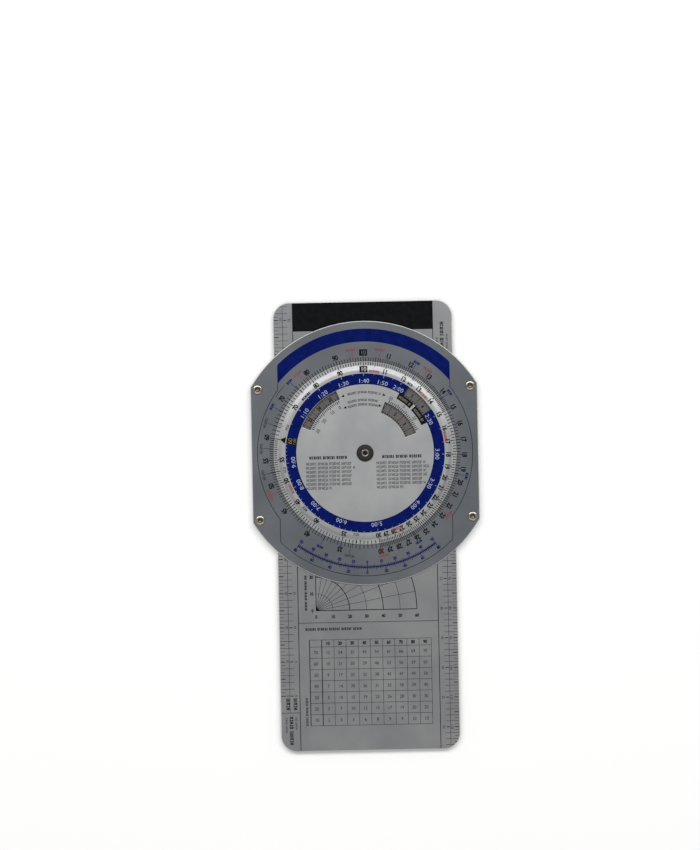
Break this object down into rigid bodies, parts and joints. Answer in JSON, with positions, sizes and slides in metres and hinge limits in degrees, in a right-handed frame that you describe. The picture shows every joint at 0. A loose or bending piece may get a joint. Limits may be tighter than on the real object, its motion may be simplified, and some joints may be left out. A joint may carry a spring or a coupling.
{
  "type": "flight computer",
  "caption": "Slide-and-dial flight computer: riveted plates with a circular slide rule in front, a compass ring with a clear plotting disc behind, and a wind slide running between.",
  "frame": {"origin": "under the middle of the wind slide, on the plane of the four rivet heads that the back rests on", "axes": "+Z out of the calculator face, +Y along the slide towards the top of the dial, +X to the right of the dial"},
  "size_m": [0.123, 0.2434, 0.0078],
  "materials": {
    "satin_plate": "satin anodised",
    "silver_disc": "satin anodised, printed",
    "silver_slide": "satin anodised, printed",
    "mill_aluminium": "plain sheet",
    "nickel_rivet": "nickel plated",
    "spring_steel": "blued strip",
    "black_washer": "moulded black",
    "white_nylon": "natural nylon",
    "frosted_clear": "frosted clear",
    "black_ink": "printed ink",
    "blue_ink": "printed ink",
    "red_ink": "printed ink",
    "white_ink": "printed ink"
  },
  "bodies": {
    "body": {"front_plate": "satin_plate", "back_plate": "satin_plate", "azimuth_frame": "satin_plate", "guide_left": "mill_aluminium", "guide_right": "mill_aluminium", "leaf_spring_left": "spring_steel", "leaf_spring_right": "spring_steel", "rivet_top_left": "nickel_rivet", "rivet_top_right": "nickel_rivet", "rivet_bottom_left": "nickel_rivet", "rivet_bottom_right": "nickel_rivet", "bearing_washer": "white_nylon", "spring_washer": "spring_steel", "cap_washer": "black_washer", "pivot_eyelet": "nickel_rivet"},
    "calculator": {"calculator_disc": "silver_disc"},
    "compass": {"azimuth_ring": "silver_disc", "plotting_disc": "frosted_clear", "centre_grommet": "nickel_rivet"},
    "slide": {"wind_slide": "silver_slide"}
  },
  "joints": [
    {"name": "calculator_turn", "type": "hinge", "parent": "body", "child": "calculator", "pos_m": [0, 0.0395, 0.005], "axis": [0, 0, 1], "continuous": true},
    {"name": "compass_turn", "type": "hinge", "parent": "body", "child": "compass", "pos_m": [0, 0.0395, 0.0015], "axis": [0, 0, 1], "continuous": true},
    {"name": "slide_draw", "type": "slide", "parent": "body", "child": "slide", "axis": [0, 1, 0], "range_m": [-0.067, 0.146]}
  ]
}
